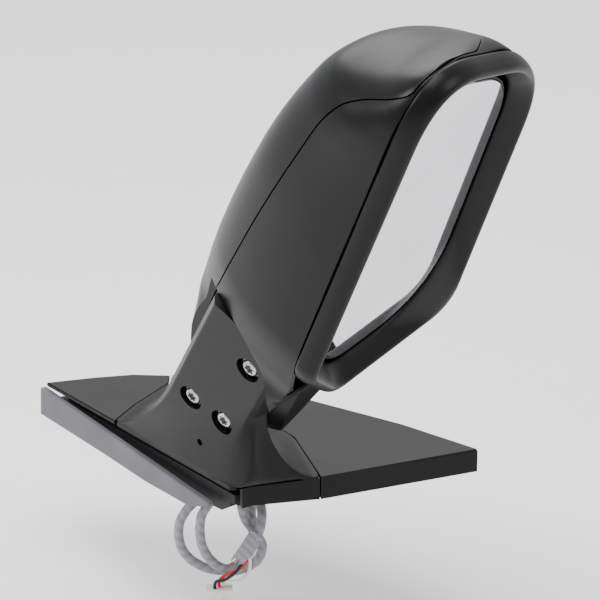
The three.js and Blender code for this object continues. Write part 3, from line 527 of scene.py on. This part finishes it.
# A closed box of that size as two rings, in local mm.
def box(size, at=(0, 0, 0)):
    x, y, z = (np.array(size) / 2)
    ring = np.array([(-x, -y), (x, -y), (x, y), (-x, y)])
    rows = np.array([np.column_stack([ring, np.full(4, h)]) for h in (-z, z)])
    return rows + np.asarray(at)


def turnedBox(size, at):
    c, s = math.cos(math.radians(plug["turn"])), math.sin(math.radians(plug["turn"]))
    rows = box(size, at)
    middle = routePoints([plug["middle"]])[0]
    x, y = rows[..., 0] * c - rows[..., 1] * s, rows[..., 0] * s + rows[..., 1] * c
    return (np.stack([x, y, rows[..., 2]], -1) + middle) * mm


plugBody = closedPiece("harnessPlug", turnedBox(plug["body"], (0, 0, 0)), "plugPlastic")
carve(plugBody, "UNION", [closedPiece("tool", turnedBox(size, at)) for size, at in plug["latch"]])
openings = [turnedBox((*plug["opening"], plug["depth"]), (x, 0.2, -plug["body"][2] / 2))
            for x in plug["openingsAt"]]
ribs = [turnedBox(plug["rib"], (x, 4.1, 0)) for x in plug["ribsAt"]]
carve(plugBody, "DIFFERENCE", [closedPiece("tool", rows) for rows in openings + ribs])
bevelled(plugBody, plug["edge"], 2)
dressPiece(plugBody, "plugPlastic", "base", "plug_plastic", 35)
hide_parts("harness_plug")

# flat end of the tape, flagged off the last turn and torn across
tail = {"from": (17.6, 12.4, 3), "to": (6.2, 13.4, -13.5), "halfWidth": 4.6, "taper": 0.9, "thick": 0.45,
        "steps": 40, "columns": 12}
s = np.linspace(0, 1, tail["steps"])[:, None]
w = np.linspace(-1, 1, tail["columns"])[None]
tailA, tailB = routePoints([tail["from"], tail["to"]])
across = unit(np.cross(tailB - tailA, (harness["near"][0], harness["near"][1], 0)))
outward = unit(np.cross(across, tailB - tailA))
torn = 1.5 * np.sin(w * 9) * s**6 + 0.8 * np.sin(w * 23 + 1) * s**8    # a ragged edge, in its last part only
halfWidth = tail["halfWidth"] - tail["taper"] * s
line = tailA + (tailB - tailA) * s[..., None]
line = line + unit(tailB - tailA) * torn[..., None]
lift = 1.0 * np.sin(s * 2.6) + 0.35 * w**2                         # it curls along and across itself
sheetPoints = line + across * (w * halfWidth)[..., None] + outward * lift[..., None]
tapeEnd = makePiece("tapeEnd", sheetPoints * mm,
                    gridFaces(tail["steps"], tail["columns"], False, False), "tape")
thick = tapeEnd.modifiers.new("thickness", "SOLIDIFY")
thick.thickness = tail["thick"] * mm
thick.offset = 0
uvLayer = tapeEnd.data.uv_layers.new(name="along")
verts = np.empty(len(tapeEnd.data.loops), np.int32)
tapeEnd.data.loops.foreach_get("vertex_index", verts)
alongTape = verts // tail["columns"] / tail["columns"]
acrossTape = verts % tail["columns"] / tail["steps"]
uvLayer.data.foreach_set("uv", np.stack([alongTape, acrossTape], -1).astype(np.float32).ravel())
dressPiece(tapeEnd, "tape", "base", "cloth_tape", 35)

tuple(cordPath[0])
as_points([tuple(p) for p in cordPath[::7]] + [tuple(cordPath[-1])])


# head: cap and housing cut from one skin, as in the part

head = {"start": -104, "end": 200.6, "wall": 2.6, "frontPower": 2.14, "rearPower": 5, "frontSteps": 64,
        "rearSteps": 20, "splitRadius": 46, "splitHeight": 12, "foldGap": 0.9, "gap": 0.3, "seamGap": 0.9,
        "drumRadius": 70, "drumTop": 30, "drumHeight": 120, "roomReach": 130, "postHole": (14.5, 8, 17),
        "openingDepth": 16, "innerEnd": 3, "cutLow": -60, "outerSections": 150, "innerSections": 110,
        "fixedRoom": (260, 80, 130), "neckRoom": (300, 300, 150), "capHeights": (-60, 180), "capFront": -140,
        "foldAngles": (14, 27, 38, 43, 49, 55)}
# place, low, middle, high, front, middle of depth, rear
headStations = np.array([
    [-104, 6, 30, 44, -70, -55, -32], [-92, 3, 31, 52, -79, -56, -26], [-72, 0, 33, 66, -86, -56, -22],
    [-54, 0, 37, 82, -92, -50, -19], [-38, 0, 41, 102, -97, -34, -16], [-26, 0, 44, 118, -101, -16, -13],
    [-10, -4, 47, 130, -102, -12, -12], [20, -9, 47, 129, -101, -12, -12], [80, -8, 47, 124, -95, -12, -12],
    [140, -6, 46, 116, -80, -12, -12], [156, -6, 45, 108, -71, -12, -12], [172, -5, 42, 93, -50, -12, -12],
    [181, -3, 39, 82, -38, -12, -12], [190, 1, 34, 60, -28, -12, -12], [198, 8, 25, 41, -18, -12, -12],
    [201, 17, 25, 32, -14, -12, -12]], float)


# Sections across the head: a superellipse half to the front, a boxier half to the rear.
def headRows(inset, start, end, count):
    x = np.linspace(start, end, count)
    columns = [between(headStations, k, x)[:, None] for k in range(1, 7)]
    low, middle, high, front, equator, rearSide = columns
    flat = rearSide - equator < 3
    rearDepth = np.where(flat, 2.0 if inset else 0.3, rearSide - equator - inset)
    a = np.linspace(-math.pi / 2, math.pi / 2, head["frontSteps"] + 1)[None]
    b = np.linspace(math.pi / 2, -math.pi / 2, head["rearSteps"] + 1)[None, 1:-1]

    def half(angle, depth, exponent):
        c, sine = np.cos(angle), np.sin(angle)
        reach = np.where(sine < 0, middle - low - inset, high - middle - inset)
        return (equator + depth * np.abs(c) ** (2 / exponent),
                middle + reach * np.sign(sine) * np.abs(sine) ** (2 / exponent))

    y1, z1 = half(a, front - equator + inset, head["frontPower"])
    y2, z2 = half(b, rearDepth, head["rearPower"])
    y, z = np.concatenate([y1, y2], 1), np.concatenate([z1, z2], 1)
    return inHead(np.broadcast_to(x[:, None], y.shape), y, z)


armLean = math.atan2(0.6, 0.8)                                     # the arm leans to the rear as it rises


# A cylinder about the pivot, open towards the base.
def armRoom(radius, height):
    arc = np.linspace(-armLean, math.pi - armLean, 49)
    outline = np.column_stack([radius * np.cos(arc), radius * np.sin(arc)])
    across = np.array([radius * math.cos(armLean), -radius * math.sin(armLean)])
    down = -np.array([math.sin(armLean), math.cos(armLean)]) * head["roomReach"]
    return prism(np.concatenate([outline, [down - across, down + across]]), head["cutLow"], height, atPivot)


# A box on one side of the lean line through the pivot.
def slab(sign, width, depth, height):
    y = depth / 2
    c, s = math.cos(armLean), math.sin(armLean)
    outline = [(u * c + w * s, -u * s + w * c) for u, w in
               ((-width / 2, 0), (width / 2, 0), (width / 2, sign * height), (-width / 2, sign * height))]
    return prism(outline, -y, y, atPivot)


# Room above the split: a cylinder, then a cone, then a wider cylinder, each grown by that much.
def drum(grow, sides=96):
    top, r = head["splitHeight"] + head["gap"] - grow, head["splitRadius"] + grow
    wide, tall = head["drumRadius"] + grow, head["drumHeight"]
    profile = [(0, top), (r, top), (wide, head["drumTop"] - grow), (wide, tall), (0, tall)]
    return closedPiece("tool", lathe(profile, atPivot, sides))


def armCylinder(radius, low, high, at=(0, 0), toFrame=atPivot, sides=64):
    profile = [(0, low), (radius, low), (radius, high), (0, high)]
    return closedPiece("tool", lathe(profile, toFrame, sides, at))


# foot cover: four sides flow from the footprint into the leaning arm
foot = {"rim": 17, "armEnd": -10, "steps": 40, "fine": 8, "round": 2, "middle": (-12, 6), "half": (34, 6),
        "lip": 2.6, "innerLip": 6, "overrun": 100, "wallLow": 3.4, "postHole": (11, 5, 20),
        "cutDepths": (-5, 6), "drain": 2, "drainAt": (-25.3, -38.7), "edge": 0.7}
footSides = [
    ([(-60.3, -22.3), (22, -35.1)], [(-41, 0), (16, 0)], 7, 10),
    ([(22, -35.1), (46.6, -38.9), (51.6, -27.5), (72.6, 2.6)], [(16, 0), (18.5, 4), (22, 12)], 9, 62),
    ([(72.6, 2.6), (28, 30), (-18, 40), (-76, 35)], [(22, 12), (-44, 12)], 8, 50),
    ([(-76, 35), (-68, 0), (-60.3, -22.3)], [(-44, 12), (-46, 5), (-41, 0)], 6, 36),
]


# Each line runs from the rim to the arm on a cubic that leaves inwards and arrives along the arm.
def footSkin(inset):
    fine = foot["fine"]
    feet = np.concatenate([alongLine(side[0], side[2] * fine) for side in footSides])
    arms = np.concatenate([alongLine(side[1], side[2] * fine) for side in footSides])
    reach = np.concatenate([np.full(side[2] * fine, side[3], float) for side in footSides])
    reach = smoothClosed(reach[:, None], fine)
    feet, arms = smoothClosed(feet, foot["round"]), smoothClosed(arms, foot["round"])
    along = np.roll(feet, -1, 0) - np.roll(feet, 1, 0)
    along /= np.linalg.norm(along, axis=1)[:, None]
    feet = feet + np.stack([along[:, 1], -along[:, 0]], -1) * -inset
    middle, half = np.array(foot["middle"]), np.array(foot["half"])
    arms = middle + (arms - middle) * (1 - inset / half)
    start = np.column_stack([feet, np.full(len(feet), foot["rim"] - inset)])
    end = inArm(arms[:, 0], arms[:, 1], np.full(len(arms), foot["armEnd"])) / mm
    inward = end - start
    inward[:, 2] = 0
    inward *= reach / np.linalg.norm(inward, axis=1)[:, None]
    leanDirection = 0.6 * rear + 0.8 * panelUp
    rise = leanDirection * np.linalg.norm(end - start, axis=1)[:, None]
    t = np.linspace(0, 1, foot["steps"] + 1)[:, None, None]
    rows = (start * (2 * t**3 - 3 * t**2 + 1) + inward * (t**3 - 2 * t**2 + t)
            + end * (3 * t**2 - 2 * t**3) + rise * (t**3 - t**2))
    under = np.column_stack([feet, np.full(len(feet), foot["rim"] - foot["innerLip" if inset else "lip"])])
    above = end + leanDirection * foot["overrun"]
    return closedPiece("foot", np.concatenate([under[None], rows, above[None]]) * mm)


def beyondSplit(radius):
    return carve(slab(1, *head["fixedRoom"]), "DIFFERENCE",
                 [armCylinder(radius, head["cutLow"], -head["cutLow"])])


def fixedArm(grow):
    return carve(footSkin(-grow), "DIFFERENCE", [beyondSplit(head["splitRadius"] + grow), drum(-grow)])


# The piece turned about the fold axis, its place kept in its mesh.
def turnedAboutPivot(piece, angle):
    at = Vector(atPivot(0.0, 0.0, 0.0))
    turn = Matrix.Rotation(math.radians(angle), 4, Vector(foldAxis))
    piece.data.transform(Matrix.Translation(at) @ turn @ Matrix.Translation(-at))
    return piece


def headSkin():
    h = head
    room, top = h["splitRadius"] + h["foldGap"], h["splitHeight"] + h["foldGap"]

    def belowNeck(grow):
        return carve(slab(-1, *h["neckRoom"]), "DIFFERENCE", [drum(-h["foldGap"] - grow)])

    outer = closedPiece("outer", headRows(0, h["start"], h["end"], h["outerSections"]))
    carve(outer, "DIFFERENCE", [armRoom(room, top), belowNeck(0)])
    innerRows = headRows(h["wall"], h["start"] + h["wall"], h["end"] - h["innerEnd"], h["innerSections"])
    inner = closedPiece("inner", innerRows)
    carve(inner, "DIFFERENCE", [armRoom(room + h["wall"], top + h["wall"]), belowNeck(h["wall"])])
    opening = prism(rounded(grown(lipCorners, -1)), -h["openingDepth"], 0, inHead)
    passing = [turnedAboutPivot(fixedArm(h["foldGap"] / 2), -angle) for angle in h["foldAngles"]]
    return carve(outer, "DIFFERENCE", [inner, opening, armCylinder(*h["postHole"]), *passing])


lipCorners = [(6, -5, 18), (210, 1, 30), (163, 113, 75), (-25, 126, 17), (-25, 26, 22)]
innerRadii = np.array([22, 34, 60, 50, 34])                        # rounder corners down the funnel


# The opening's outline moved out by a distance; its corners grow rounder as it goes in.
def lipOutline(out, arcSteps=24, edgeSteps=14):
    corners = grown(lipCorners, out)
    share = np.clip(-out / 8, 0, 1)
    corners[:, 2] = corners[:, 2] * (1 - share) + (innerRadii + min(out + 8, 0)) * share
    return rounded(corners, arcSteps, edgeSteps)


seam = [(-130, -84), (-40, -82), (-14, -80), (7, -75), (69, -66), (121, -57), (141, -53), (159, -46),
        (170, -37), (185, -21), (194, -14), (212, -13.5), (240, -13.5)]


# Everything to the front of the seam, a line in x and depth carried across the head.
def capRegion(shift):
    line = np.array(seam, float)
    x = np.linspace(line[0, 0], line[-1, 0], 160)
    depth = between(line, 1, x) + shift
    outline = np.concatenate([np.column_stack([x, depth]), [(line[-1, 0], head["capFront"]),
                                                                (line[0, 0], head["capFront"])]])
    rows = [inHead(outline[:, 0], outline[:, 1], np.full(len(outline), z)) for z in head["capHeights"]]
    return closedPiece("tool", rows)


skin = headSkin()
capPiece = carve(copyOf(skin), "INTERSECT", [capRegion(0)])
capPiece.name = "capShell"
housingPiece = carve(skin, "DIFFERENCE", [capRegion(head["seamGap"])])
housingPiece.name = "housingShell"
for piece, finish, slotName, node in ((capPiece, "capPlastic", "cap_plastic", "cap_shell"),
                                      (housingPiece, "blackPlastic", "black_plastic", "housing_shell")):
    facesOut(piece)
    bevelled(piece, 0.5, 2, 38)
    dressPiece(piece, finish, "head", slotName, 30)
    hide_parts(node)
print("head:", len(capPiece.data.polygons), len(housingPiece.data.polygons), "faces")

# bezel: its profile of (out, depth) swept round the glass opening, corners eased
bezel = {"profile": [(4.6, -11.6), (4.4, -6), (2.6, -1.6), (0, 0), (-1.8, -1), (-8.2, -9.4), (-8.6, -11.8),
                     (-6.6, -12.6), (-3, -8.4), (0.6, -8), (1.2, -11.6)], "fine": 8, "ease": 3}
profile = np.array(bezel["profile"], float)
u = np.arange(bezel["fine"])[None, :, None] / bezel["fine"]
profile = (profile[:, None] * (1 - u) + np.roll(profile, -1, 0)[:, None] * u).reshape(-1, 2)
profile = smoothClosed(profile, bezel["ease"])
rings = []
for out, y in profile:
    outline = lipOutline(out)
    rings.append(inHead(outline[:, 0], np.full(len(outline), y), outline[:, 1]))
bezelPiece = makePiece("bezelFrame", np.array(rings), gridFaces(len(rings), len(rings[0]), True, True),
                       "blackPlastic", "head", "black_plastic", 50)
facesOut(bezelPiece)
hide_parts("bezel_frame")

# glass: a sheet with a ground edge
glass = {"inset": -12.5, "front": -10, "thick": 2.2, "chamfer": 0.5}
rows = []
for out, y in ((-0.3, -glass["thick"]), (0, -glass["thick"] + 0.3), (0, -glass["chamfer"]),
               (-glass["chamfer"], 0)):
    outline = lipOutline(glass["inset"] + out)
    rows.append(inHead(outline[:, 0], np.full(len(outline), glass["front"] + y), outline[:, 1]))
glassPiece = closedPiece("mirrorGlass", rows, "silvered")
dressPiece(glassPiece, "silvered", "glass", "mirror_glass", 12)
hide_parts("mirror_glass")

# holder: a shallow tray round the glass with a cup behind it for the ball, and the heater film inside
holder = {"out": 1.2, "clear": 0.3, "back": -14.7, "rim": -10.6, "floor": -13.3, "ball": (85, 58),
          "cup": (11.4, 14, -28, -14.3), "heaterOut": -3, "heater": (-13, -12.5)}


# Rings of the glass outline: each is moved out by its distance and set at its depth.
def trayRows(pairs):
    rows = []
    for out, y in pairs:
        outline = lipOutline(glass["inset"] + out)
        rows.append(inHead(outline[:, 0], np.full(len(outline), y), outline[:, 1]))
    return rows


outer, clear, rim = holder["out"], holder["clear"], holder["rim"]
traySection = [(outer, holder["back"]), (outer, rim), (clear, rim), (clear, holder["floor"])]
tray = closedPiece("glassHolder", trayRows(traySection))
innerCup, outerCup, low, high = holder["cup"]
cupSection = [(innerCup, low), (outerCup, low), (outerCup, high), (innerCup, high)]
cupRows = lathe(cupSection, inHead, 64, holder["ball"])
cup = makePiece("tool", cupRows, gridFaces(4, 64, True, True), "innerPlastic")
facesOut(cup)
carve(tray, "UNION", [cup])
facesOut(tray)
bevelled(tray, 0.25, 2)
dressPiece(tray, "innerPlastic", "glass", "inner_plastic", 35)
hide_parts("glass_holder")
heater = closedPiece("heaterFilm", trayRows([(holder["heaterOut"], y) for y in holder["heater"]]))
dressPiece(heater, "heaterFilm", "glass", "heater_film", 35)
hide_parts("heater_pad")
print("bezel, glass and holder")


# base: foot cover, sail panels, seal strip, screws

bolts = {"places": [(28, 27.2), (-24.9, -9.4), (-4, -18.3)], "seat": 4.4, "hole": 7.4}
wallThick = head["wall"]


# An outline in the base carried straight up from the lowest edge to just under the rim.
def skirt(points):
    rows = [inBase(*np.array(points, float).T, np.full(len(points), z))
            for z in (foot["wallLow"], foot["rim"] - 1)]
    return closedPiece("tool", rows)


cover = fixedArm(0)
sideWall = [(50, -34), (51.8, -27.3), (72.7, 2.8), (70.9, 4.1), (49.8, -26), (47.9, -33.4)]
carve(cover, "UNION", [skirt(sideWall)])
inner = footSkin(wallThick)
carve(inner, "DIFFERENCE", [beyondSplit(head["splitRadius"] - wallThick), drum(wallThick)])
holes = [armCylinder(bolts["hole"], *foot["cutDepths"], at, inArm) for at in bolts["places"]]
drain = armCylinder(foot["drain"], *foot["cutDepths"], foot["drainAt"], inArm)
carve(cover, "DIFFERENCE", [inner, *holes, armCylinder(*foot["postHole"]), drain])
cover.name = "footCover"
facesOut(cover)
bevelled(cover, foot["edge"], 3, 40)
dressPiece(cover, "blackPlastic", "base", "black_plastic", 32)
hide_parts("foot_cover")
print("foot cover:", len(cover.data.polygons), "faces")

panels = {"top": 17, "wall": 2.6, "edge": 0.9}
sailPlates = {
    "sailPanelFront": ("sail_panel_front", [(-129, -12.3), (-60.8, -22.6), (-68.5, 0), (-76.6, 35.4),
                                            (-84, 44), (-101, 30), (-114, 12)]),
    "sailPanelRear": ("sail_panel_rear", [(73.2, 3.2), (112, 87.5), (60, 84), (-8, 72), (-50, 60),
                                          (-83, 45.2), (-76, 35.7), (-18, 40.6), (28.2, 30.6)]),
}
for name, (node, outline) in sailPlates.items():
    points = np.array(outline, float)
    rows = [inBase(points[:, 0], points[:, 1], np.full(len(points), z))
            for z in (panels["top"] - panels["wall"], panels["top"])]
    plate = closedPiece(name, rows)
    if node == "sail_panel_rear":
        carve(plate, "UNION", [skirt([(73.2, 3.3), (112.5, 87.8), (109.6, 88), (70.7, 4.9)])])
    facesOut(plate)
    bevelled(plate, panels["edge"], 3, 40)
    dressPiece(plate, "blackPlastic", "base", "black_plastic", 32)
    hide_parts(node)

strip = {"outline": [(-4, 13.4), (160, 1.4), (160, -1), (140, -7.5), (100, -8), (60, -6), (-5, -4)],
         "near": -3, "far": 1.2, "slope": 0.155, "start": (-128, -12)}
points = np.array(strip["outline"], float)
turnBack = math.atan(strip["slope"])
rows = []
for y in (strip["near"], strip["far"]):
    x0, y0 = strip["start"]
    rows.append(inBase(x0 + points[:, 0] * math.cos(turnBack) + y * math.sin(turnBack),
                       y0 - points[:, 0] * math.sin(turnBack) + y * math.cos(turnBack), points[:, 1]))
stripPiece = closedPiece("beltSealStrip", rows, "sealRubber")
facesOut(stripPiece)
bevelled(stripPiece, 1.1, 4, 40)
dressPiece(stripPiece, "sealRubber", "base", "seal_rubber", 32)
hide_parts("belt_seal_strip")

# pan heads with a six-lobed recess: rings blend from the lobed recess to the round head and its washer
recess = {"lobe": 0.17, "lobes": 6, "sides": 96}
turn = np.linspace(0, 2 * math.pi, recess["sides"], endpoint=False)
lobed = 1 + recess["lobe"] * np.cos(recess["lobes"] * turn)
rim = bolts["seat"]
# radius, share of the lobed shape, height
screwRings = [(0.01, 1, rim - 1.1), (2.1, 1, rim - 1.1), (2.5, 1, rim - 1.2), (2.65, 1, rim - 3.25),
              (2.85, 0.9, rim - 3.38), (3.3, 0, rim - 3.4), (3.9, 0, rim - 3.3), (4.4, 0, rim - 3.0),
              (4.8, 0, rim - 2.4), (5.0, 0, rim - 1.7), (5.05, 0, rim - 1.45), (5.7, 0, rim - 1.4),
              (5.95, 0, rim - 1.2), (6, 0, rim - 0.9), (6, 0, rim - 0.3), (3, 0, rim - 0.3),
              (3, 0, 9.1), (0.01, 0, 9.1)]
for i, (boltX, boltZ) in enumerate(bolts["places"]):
    rows = []
    for r, share, y in screwRings:
        reach = r * (1 + (lobed - 1) * share)
        rows.append(inArm(boltX + reach * np.cos(turn), np.full(recess["sides"], y),
                          boltZ + reach * np.sin(turn)))
    screw = closedPiece(f"armBolt{i + 1}", rows, "zincSteel")
    dressPiece(screw, "zincSteel", "base", "zinc_steel", 28)
    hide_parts(f"arm_bolt_{i + 1}")

# door studs with their thread drawn as close rings
stud = {"places": [(-88, 6), (34, 60), (-34, 54)], "reach": 14, "pitch": 1.0, "turns": 21}
thread = []
for k in range(stud["turns"]):
    y = -stud["reach"] + 0.8 + k * stud["pitch"]
    thread += [(2.62, y), (2.95, y + 0.35), (2.95, y + 0.5), (2.62, y + 0.85)]
studProfile = [(0, -stud["reach"]), (2.3, -stud["reach"]), *thread, (3, 8.2), (3, 9.3), (5.4, 9.3),
               (6, 9.8), (6, 11.8), (5.5, 12.4), (0, 12.4)]
upright = place((0, 0, 0), rear, np.array([0, 0, 1.0]), np.array([0, -1.0, 0]))
for i, (x, y) in enumerate(stud["places"]):
    piece = closedPiece(f"doorStud{i + 1}", lathe(studProfile, upright, 36, (x, -y)), "zincSteel")
    dressPiece(piece, "zincSteel", "base", "zinc_steel", 28)
    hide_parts(f"door_stud_{i + 1}")

grommet = {"at": (21, -5), "profile": [
    (2, -10), (4.6, -10), (5.2, -9.5), (5.35, -8.6), (5.1, -8), (5.6, -6.9), (5.3, -6.2), (5.9, -5),
    (5.6, -4.2), (6.4, -2.4), (6.9, -2), (9.4, -2), (9.8, -1.6), (9.8, 1.8), (9.4, 2.2), (2, 2.2)]}
rows = lathe(grommet["profile"], upright, 48, (grommet["at"][0], -grommet["at"][1]))
grommetPiece = makePiece("cableGrommet", rows, gridFaces(len(rows), 48, True, True), "rubber", "base",
                         "black_rubber", 40)
facesOut(grommetPiece)
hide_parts("cable_grommet")
print("base")


# the part's own nodes, each in its real finish

cadFinishes = {
    "base_gasket": "rubber", "base_casting": "casting", "locating_pin": "zincSteel",
    "pivot_post": "zincSteel", "detent_ring_fixed": "zincSteel", "detent_ring_moving": "zincSteel",
    "fold_spring": "springSteel", "spring_retainer": "zincSteel", "head_frame": "innerPlastic",
    "tilt_ring": "nylon", "ball_post": "nylon", "actuator_case": "innerPlastic",
    "actuator_cover": "innerPlastic",
}
for i in (1, 2, 3):
    cadFinishes[f"actuator_screw_{i}"] = "zincSteel"
for i in (1, 2):
    cadFinishes.update({f"jack_screw_{i}": "nylon", f"drive_wheel_{i}": "nylon", f"worm_{i}": "brass",
                        f"motor_{i}": "zincSteel"})
for name, finish in cadFinishes.items():
    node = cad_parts[name]
    node.data.materials.clear()
    node.data.materials.append(finishes[finish])

floor = {"level": -0.0835, "half": 3.0}
h = floor["half"]
ground = makePiece("floor", [(-h, -h, floor["level"]), (h, -h, floor["level"]), (h, h, floor["level"]),
                             (-h, h, floor["level"])], [(0, 1, 2, 3)], "paleFloor")
print("nodes dressed, floor laid")
